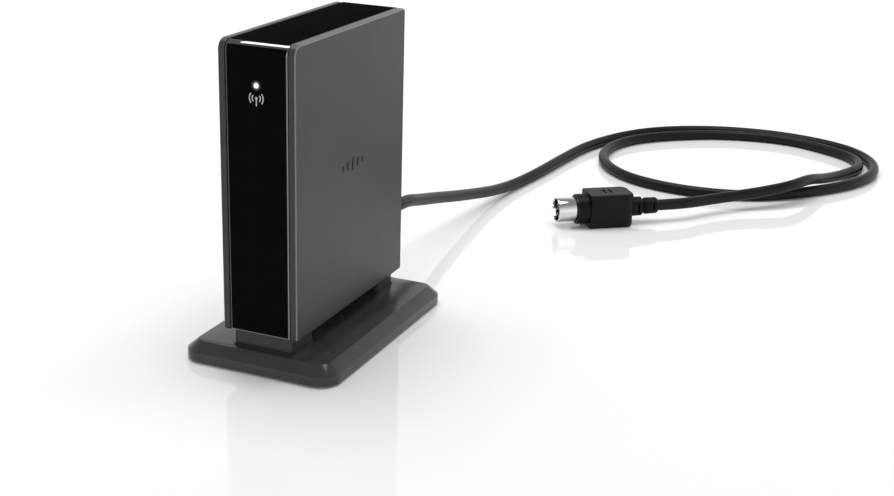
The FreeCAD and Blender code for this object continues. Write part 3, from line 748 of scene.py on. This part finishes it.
def add_piece(shape: bmesh.types.BMesh, name: str, material: bpy.types.Material, node: str) -> bpy.types.Object:
    """Make a piece of a finished shape, which rides on the receiver in place of a CAD node.

    Args:
        shape: the mesh under construction, which is used up.
        name: the piece's name.
        material: its material.
        node: the CAD node that it stands for.

    Returns:
        The piece.
    """
    crease(shape)
    mesh = bpy.data.meshes.new(name)
    shape.to_mesh(mesh)
    shape.free()
    mesh.materials.append(material)
    piece = bpy.data.objects.new(name, mesh)
    bpy.context.scene.collection.objects.link(piece)
    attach(piece, BODY)
    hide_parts(node)
    LOG.info("%s: %d faces in %s", name, len(mesh.polygons), material.name)
    return piece


def face_at(shape: bmesh.types.BMesh, score: Callable[[Vector], float]) -> bmesh.types.BMFace:
    """The face whose middle scores highest."""
    return max(shape.faces, key=lambda face: score(face.calc_center_median()))


def cut_across(shape: bmesh.types.BMesh, axis: int, level: float, near: float,
               cuts: list[tuple[int, float]]) -> None:
    """Cut straight lines into the faces that lie in one plane.

    Args:
        shape: the mesh.
        axis: the axis that the plane is square to: 0, 1 or 2.
        level: where on it the plane is.
        near: how far from the plane the middle of a face may be.
        cuts: an axis and a place for each line.
    """
    for way, place in cuts:
        flat = [f for f in shape.faces if abs(f.calc_center_median()[axis] - level) < near]
        around = dict.fromkeys(part for f in flat for part in (f, *f.edges, *f.verts))
        at, facing = Vector(), Vector()
        at[way], facing[way] = place, 1.0
        bmesh.ops.bisect_plane(shape, geom=list(around), dist=WELD, plane_co=at, plane_no=facing)


def carry(shape: bmesh.types.BMesh, made: list[object], move: Place) -> None:
    """Move what an extrusion has just made.

    Args:
        shape: the mesh.
        made: the extrusion's own list of what it made.
        move: how far, along each axis.
    """
    corners = [part for part in made if isinstance(part, bmesh.types.BMVert)]
    bmesh.ops.translate(shape, vec=move, verts=corners)


def push_in(shape: bmesh.types.BMesh, faces: list[bmesh.types.BMFace], rise: float) -> None:
    """Move faces up or down and join them to where they were by walls.

    Args:
        shape: the mesh.
        faces: the faces.
        rise: how far up they go.
    """
    carry(shape, bmesh.ops.extrude_face_region(shape, geom=faces)["geom"], (0, 0, rise))
    bmesh.ops.delete(shape, geom=faces, context="FACES")


def climb(edge: bmesh.types.BMEdge) -> float:
    """Difference in height between an edge's two ends."""
    return abs(edge.verts[0].co.z - edge.verts[1].co.z)


@dataclass
class Pedestal:
    """Weighted foot: moulded shell, cover, feet, ballast and the two posts."""

    corner: float = 6.3 * MM
    edge_top: float = 3.3 * MM
    border: float = 3.4 * MM
    wall: float = 2.2 * MM
    roof: float = 2.0 * MM
    softened: float = 0.22 * MM
    post_lip: float = 0.4 * MM
    pocket: float = 0.6 * MM
    play: float = 0.1 * MM
    corner_steps: int = 12
    soft_steps: int = 3

    def shell(self) -> None:
        """Shell with an upright edge, a sloping border, softened creases and pockets for the posts."""
        low, high = (Vector(corner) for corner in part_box("pedestal_shell"))
        size = high - low
        shape = bmesh.new()
        bmesh.ops.create_cube(shape, size=1.0)
        bmesh.ops.scale(shape, vec=(size.x, size.y, self.edge_top - low.z), verts=shape.verts)
        middle = ((low.x + high.x) / 2, (low.y + high.y) / 2, (self.edge_top + low.z) / 2)
        bmesh.ops.translate(shape, vec=middle, verts=shape.verts)
        round_off(shape, [e for e in shape.edges if climb(e) > MM], self.corner, self.corner_steps)
        bmesh.ops.inset_region(shape, faces=[face_at(shape, lambda c: c.z)], thickness=self.border,
                               depth=high.z - self.edge_top, use_even_offset=True, use_boundary=True)
        level = [e for e in shape.edges if climb(e) < FLAT and e.verts[0].co.z > low.z + MM]
        round_off(shape, level, self.softened, self.soft_steps)
        self.hollow(shape, low.z, high.z - self.roof)
        for node in ("front_post", "rear_post"):
            self.sink(shape, node, high.z)
        add_piece(shape, "pedestal", PEDESTAL.material(), "pedestal_shell")

    def hollow(self, shape: bmesh.types.BMesh, bottom: float, ceiling: float) -> None:
        """Sink the underside to leave a wall all round.

        Args:
            shape: the shell so far.
            bottom: height of its lower face.
            ceiling: height of the roof's inner face.
        """
        under = face_at(shape, lambda c: -c.z)
        bmesh.ops.inset_region(shape, faces=[under], thickness=self.wall, use_even_offset=True,
                               use_boundary=True)
        push_in(shape, [under], ceiling - bottom)

    def sink(self, shape: bmesh.types.BMesh, node: str, top: float) -> None:
        """Cut the shallow pocket that seats one post.

        Args:
            shape: the shell so far.
            node: the post.
            top: height of the flat top.
        """
        inwards = self.post_lip - self.play
        (left, near, _), (right, far, _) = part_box(node)
        left, right, near, far = left + inwards, right - inwards, near + inwards, far - inwards
        cut_across(shape, 2, top, FLAT, [(0, left), (0, right), (1, near), (1, far)])
        middles = {face: face.calc_center_median() for face in shape.faces}
        floor = [face for face, at in middles.items()
                 if abs(at.z - top) < FLAT and left < at.x < right and near < at.y < far]
        push_in(shape, floor, -self.pocket)

    def build(self) -> None:
        """Build and dress the pedestal."""
        self.shell()
        dress(POST, "front_post", "rear_post")
        dress(UNDERSIDE, "base_cover")
        dress(RUBBER, "rubber_feet")
        dress(STEEL, "ballast_plate")
        dress(BLACK_ZINC, "cover_screws")
        dress(SCREW_STEEL, "tower_screws")


@dataclass
class Tower:
    """Slim case: glossy band between two lacquered shells, with its light and its sign."""

    thickness: float = 2.0 * MM
    nose: float = 3.2 * MM
    nose_steps: int = 28
    nose_play: float = 0.02 * MM
    rim: float = 0.6 * MM
    rim_steps: int = 6
    foot: float = 0.3 * MM
    light_hole: float = 0.85 * MM
    hole_steps: int = 48
    patch: float = 2.0 * MM
    sign_proud: float = 0.03 * MM
    sign_sunk: float = 0.015 * MM
    stroke: float = 0.34 * MM
    dot: float = 0.42 * MM
    dot_steps: int = 40
    stem_top: float = 0.3 * MM
    arcs: tuple[Span, ...] = ((1.3 * MM, 42.0), (2.2 * MM, 40.0))
    arc_steps: int = 20

    def skin(self, low: Vector, high: Vector) -> bmesh.types.BMesh:
        """Outer face of the glossy band: up the front, round the corner and back over the top.

        Args:
            low: lowest corner of the band's box.
            high: highest corner of the band's box.

        Returns:
            A mesh with no thickness, facing outwards.
        """
        shape = bmesh.new()
        foot = shape.verts.new((low.x, low.y, low.z))
        rise = shape.verts.new((low.x, low.y, high.z - self.nose))
        shape.edges.new((foot, rise))
        turned = bmesh.ops.spin(shape, geom=[rise], cent=(low.x, low.y + self.nose, high.z - self.nose),
                                axis=(1, 0, 0), angle=-math.pi / 2, steps=self.nose_steps)["geom_last"]
        last = [part for part in turned if isinstance(part, bmesh.types.BMVert)][0]
        back = shape.verts.new((low.x, high.y, high.z))
        shape.edges.new((last, back))
        bmesh.ops.remove_doubles(shape, verts=shape.verts, dist=WELD)
        made = bmesh.ops.extrude_edge_only(shape, edges=shape.edges)["geom"]
        carry(shape, made, (high.x - low.x, 0, 0))
        bmesh.ops.recalc_face_normals(shape, faces=shape.faces)
        if face_at(shape, lambda c: -c.y).normal.y > 0:
            bmesh.ops.reverse_faces(shape, faces=shape.faces)
        return shape

    def band(self) -> None:
        """Glossy band, rounded along its rims, with a hole for the light."""
        low, high = (Vector(corner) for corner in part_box("gloss_band"))
        shape = self.skin(low, high)
        self.thicken(shape)
        nose = (low.y + self.nose, high.z - self.nose)
        rims = [e for e in shape.edges if self.on_rim(e, (low.x, high.x), nose)]
        round_off(shape, rims, self.rim, self.rim_steps)
        self.pierce(shape, low.y)
        material = GLOSS.material(high.x - self.rim, nose, low.z + self.foot)
        add_piece(shape, "glossy_band", material, "gloss_band")

    def thicken(self, shape: bmesh.types.BMesh) -> None:
        """Give the outer skin its wall by moving a copy inwards and bridging the two outlines.

        Args:
            shape: the skin, facing outwards.
        """
        outer = list(shape.faces)
        normals = {v: v.normal.copy() for v in shape.verts}
        made = bmesh.ops.duplicate(shape, geom=list(shape.verts) + list(shape.edges) + outer)
        twins = {v: t for v, t in made["vert_map"].items() if v in normals}
        for first, twin in twins.items():
            twin.co = first.co - normals[first] * self.thickness
        inner = [part for part in made["geom"] if isinstance(part, bmesh.types.BMFace)]
        bmesh.ops.reverse_faces(shape, faces=inner)
        open_edges = [e for e in shape.edges if len(e.link_faces) == 1]
        bmesh.ops.bridge_loops(shape, edges=open_edges)
        bmesh.ops.recalc_face_normals(shape, faces=shape.faces)

    def on_rim(self, edge: bmesh.types.BMEdge, sides: Span, nose: Span) -> bool:
        """Whether an edge runs along the outer skin's left or right side.

        Args:
            edge: the edge.
            sides: x of the two sides.
            nose: y and z of the rounded corner's axis.

        Returns:
            Whether it does.
        """
        first, second = (v.co for v in edge.verts)
        if abs(first.x - second.x) > FLAT or min(abs(first.x - side) for side in sides) > FLAT:
            return False
        return self.on_skin(first, nose) and self.on_skin(second, nose) and edge.calc_length() > FLAT

    def on_skin(self, place: Vector, nose: Span) -> bool:
        """Whether a place is on the front, the rounded corner or the top.

        Args:
            place: the place.
            nose: y and z of the rounded corner's axis.

        Returns:
            Whether it is.
        """
        forward, up = nose[0] - place.y, place.z - nose[1]
        if forward < WELD:
            reach = up
        elif up < WELD:
            reach = forward
        else:
            reach = math.hypot(forward, up)
        return abs(reach - self.nose) < self.nose_play

    def pierce(self, shape: bmesh.types.BMesh, front: float) -> None:
        """Cut the light's round hole into the front face, with its wall.

        Args:
            shape: the band so far.
            front: y of the front face.
        """
        cut_across(shape, 1, front, WELD, [(0, -self.patch), (0, self.patch),
                                           (2, LIGHT_Z - self.patch), (2, LIGHT_Z + self.patch)])
        middle = Vector((0, front, LIGHT_Z))
        patch = face_at(shape, lambda c: -(c - middle).length)
        square = list(patch.edges)
        bmesh.ops.delete(shape, geom=[patch], context="FACES_ONLY")
        turn = Matrix.Translation(middle) @ Matrix.Rotation(math.pi / 2, 4, "X")
        ring = bmesh.ops.create_circle(shape, radius=self.light_hole, segments=self.hole_steps,
                                       matrix=turn)["verts"]
        circle = [e for e in shape.edges if all(v in ring for v in e.verts)]
        bmesh.ops.triangle_fill(shape, use_beauty=True, edges=square + circle)
        made = bmesh.ops.extrude_edge_only(shape, edges=circle)["geom"]
        carry(shape, made, (0, self.thickness, 0))

    def sign(self) -> None:
        """Radio-signal sign: a dot, a stem and two pairs of arcs, printed a hair proud."""
        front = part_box("gloss_band")[0][1]
        shape = bmesh.new()
        half = self.stroke / 2
        bmesh.ops.create_circle(shape, cap_ends=True, radius=self.dot, segments=self.dot_steps)
        corners = ((-half, -STEM), (half, -STEM), (half, -self.stem_top), (-half, -self.stem_top))
        shape.faces.new([shape.verts.new((across, up, 0)) for across, up in corners])
        for radius, half_turn in self.arcs:
            for side in (0, 180):
                self.arc(shape, radius, side, half_turn)
        upright = Matrix.Rotation(math.pi / 2, 4, "X")
        place = Matrix.Translation((0, front - self.sign_proud, SIGN_Z)) @ upright
        bmesh.ops.transform(shape, matrix=place, verts=shape.verts)
        made = bmesh.ops.extrude_face_region(shape, geom=list(shape.faces))["geom"]
        carry(shape, made, (0, self.sign_proud + self.sign_sunk, 0))
        bmesh.ops.recalc_face_normals(shape, faces=shape.faces)
        # its ink carries a faint painted glow
        add_piece(shape, "signal_sign", SIGN_INK_PAINTED_GLOW.material(), "status_icon")

    def arc(self, shape: bmesh.types.BMesh, radius: float, side: float, half_turn: float) -> None:
        """Add one flat arc of the sign.

        Args:
            shape: the sign so far, flat in X and Y about its dot.
            radius: the arc's mean radius.
            side: direction of its middle, in degrees from +X.
            half_turn: half of its sweep, in degrees.
        """
        start = math.radians(side - half_turn)
        ends = [shape.verts.new((r * math.cos(start), r * math.sin(start), 0))
                for r in (radius - self.stroke / 2, radius + self.stroke / 2)]
        line = shape.edges.new(ends)
        bmesh.ops.spin(shape, geom=[*ends, line], cent=(0, 0, 0), axis=(0, 0, 1),
                       angle=math.radians(2 * half_turn), steps=self.arc_steps)

    def build(self) -> None:
        """Build and dress the tower."""
        self.band()
        self.sign()
        dress(WINDOW, "light_pipe")
        dress(CHARCOAL, "side_shell_left", "side_shell_right")
        dress(BARS, "side_emblem")
        dress(UNDERSIDE, "bottom_tray", "rear_panel")
        dress(BLACK_ZINC, "rear_screws")
        dress(BUTTON, "pair_button")


@dataclass
class Electronics:
    """Inner frame and everything on the board."""

    chips: tuple[str, ...] = ("audio_processor", "audio_converter", "memory_chip", "voltage_regulator")

    def build(self) -> None:
        """Dress every inner node."""
        dress(FRAME, "inner_frame", "button_switch", "switch_plunger")
        dress(Laminate(), "main_board", "radio_board")
        for node in self.chips:
            dress(ChipPack(node), node)
        dress(SCREW_STEEL, "board_screws")
        dress(TIN, "radio_shield", "crystal")
        dress(CERAMIC, "chip_antenna")
        dress(CAN, "filter_capacitors")
        dress(FERRITE, "power_inductor")
        dress(RESIN, "status_led")
        dress(NYLON, "board_socket", "lead_housing")
        dress(WIRE, "inner_leads")


@dataclass
class Lead:
    """The free lead: one smooth curve along the same route as its solid."""

    diameter: float = 4.4 * MM
    length: float = 0.845
    floor: float = 2.2
    plug_axis: float = 6.7
    curve_steps: int = 12
    round_steps: int = 8
    exit: Place = (0.0, 0.054, 0.0248)
    on_it: tuple[str, ...] = ("cable_gland", "plug_strain_relief", "plug_body", "plug_collar", "plug_insert",
                              "plug_pins")

    def route(self) -> list[Place]:
        """Points of the route in millimetres.

        Returns:
            The points, from the strain relief to the plug.
        """
        f, p = self.floor, self.plug_axis
        return [
            (0, 54, 24.8), (0, 64, 24.8), (-1.5, 80, 20.4), (-2.4, 98, 16.1),
            (-2, 117, 11.6), (-1.4, 136, 7.5), (-0.3, 154, 4), (1.6, 172, f), (4.6, 192, f),
            (6.5, 218, f), (10, 250, f), (25, 284, f), (52, 304, f),
            (84, 311, f), (115, 304, f), (132, 288, f), (138, 266, f), (132, 243, f),
            (116, 221, f), (98, 204, f), (72, 197, f), (45, 202, f), (27, 218, f),
            (19, 240, f), (22, 262, f), (36, 281, f), (62, 299, f), (91, 304, f),
            (112, 295, f), (126.5, 284.5, f), (130.5, 269, f), (124.5, 252.5, 2.6),
            (119.4, 236, 4.6), (115.8, 221, 8), (110.8, 206.8, 8.1), (102.5, 197.6, 7.1), (93.5, 189, 6.3),
            (83.8, 178, 6.1), (75.4, 164.7, p), (66.6, 158.1, p),
        ]

    def build(self, sleeve: bpy.types.Object) -> None:
        """Args:
            sleeve: the plug's sleeve, which is the one piece on the lead that isn't a CAD node; not used.
        """
        data = bpy.data.curves.new("lead", "CURVE")
        data.dimensions = "3D"
        line = data.splines.new("NURBS")
        points = [Vector(p) * MM for p in self.route()]
        line.points.add(len(points) - 1)
        for control, place in zip(line.points, points):
            control.co = (*place, 1.0)
        line.order_u = 3
        line.use_endpoint_u = True
        line.resolution_u = self.curve_steps
        data.bevel_depth = self.diameter / 2
        data.bevel_resolution = self.round_steps
        data.materials.append(JACKET.material())
        piece = bpy.data.objects.new("lead", data)
        bpy.context.scene.collection.objects.link(piece)
        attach(piece, BODY)
        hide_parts("cord")
        dress(GLAND, "cable_gland")
        LOG.info("lead: %d points", len(points))

    def plug_place(self) -> Matrix:
        """Where the plug lies.

        Returns:
            The place of a plug whose cord end is at the origin and whose lead leaves it along +X.
        """
        before, last = (Vector(p) * MM for p in self.route()[-2:])
        way = before - last
        return Matrix.Translation(last) @ Matrix.Rotation(math.atan2(way.y, way.x), 4, "Z")


@dataclass
class Plug:
    """Round plug: grip block, collar, bright sleeve with a key notch, core and pins."""

    place: Matrix
    sleeve: float = 4.75 * MM
    wall: float = 0.35 * MM
    mouth: float = -41.7 * MM
    sleeve_length: float = 7.8 * MM
    segments: int = 96
    notch_half: float = 1.65 * MM
    notch_deep: float = 1.3 * MM
    notch_turn: float = -30.0
    lip: float = 0.07 * MM
    lip_steps: int = 2
    lip_turn: float = 60.0

    def shell(self) -> bpy.types.Object:
        """Sleeve spun from its wall's section, with the notch cut and its lip rounded.

        Returns:
            The sleeve.
        """
        shape = bmesh.new()
        inner, outer = self.sleeve - self.wall, self.sleeve
        slot, back = self.mouth + self.notch_deep, self.mouth + self.sleeve_length
        ends = [(self.mouth, inner), (self.mouth, outer), (slot, outer),
                (back, outer), (back, inner), (slot, inner)]
        section = [shape.verts.new((x, 0, r)) for x, r in ends]
        for first, second in zip(section, section[1:] + section[:1]):
            shape.edges.new((first, second))
        bmesh.ops.spin(shape, geom=list(shape.verts) + list(shape.edges), cent=(0, 0, 0), axis=(1, 0, 0),
                       angle=2 * math.pi, steps=self.segments, use_merge=True)
        bmesh.ops.remove_doubles(shape, verts=shape.verts, dist=WELD)
        bmesh.ops.recalc_face_normals(shape, faces=shape.faces)
        self.notch(shape)
        lips = [e for e in shape.edges if e.calc_face_angle(0.0) > math.radians(self.lip_turn)]
        round_off(shape, lips, self.lip, self.lip_steps)
        bmesh.ops.transform(shape, matrix=self.place, verts=shape.verts)
        return add_piece(shape, "plug_sleeve", NICKEL.material(), "plug_shell")

    def notch(self, shape: bmesh.types.BMesh) -> None:
        """Take the notch's faces out of the mouth and close the cut.

        Args:
            shape: the sleeve so far, with its axis along X.
        """
        turn = math.radians(self.notch_turn)
        way = Vector((0, math.cos(turn), math.sin(turn)))
        across = Vector((0, -math.sin(turn), math.cos(turn)))
        gone = []
        for face in shape.faces:
            middle = face.calc_center_median()
            near_mouth = middle.x < self.mouth + self.notch_deep - FLAT
            if near_mouth and middle.dot(way) > 0 and abs(middle.dot(across)) < self.notch_half:
                gone.append(face)
        bmesh.ops.delete(shape, geom=gone, context="FACES")
        open_edges = [e for e in shape.edges if len(e.link_faces) == 1]
        bmesh.ops.contextual_create(shape, geom=open_edges)

    def build(self) -> bpy.types.Object:
        """Build and dress the plug.

        Returns:
            Its sleeve.
        """
        dress(GRIP, "plug_body", "plug_collar", "plug_strain_relief")
        dress(INSERT, "plug_insert")
        dress(GOLD, "plug_pins")
        return self.shell()


def main() -> None:
    """Build everything in order."""
    logging.basicConfig(level=logging.INFO, format="%(name)s: %(message)s")
    Studio().build()
    lead = Lead()
    lead.build(Plug(lead.plug_place()).build())
    Pedestal().build()
    Tower().build()
    Electronics().build()


if __name__ == "__main__":
    main()
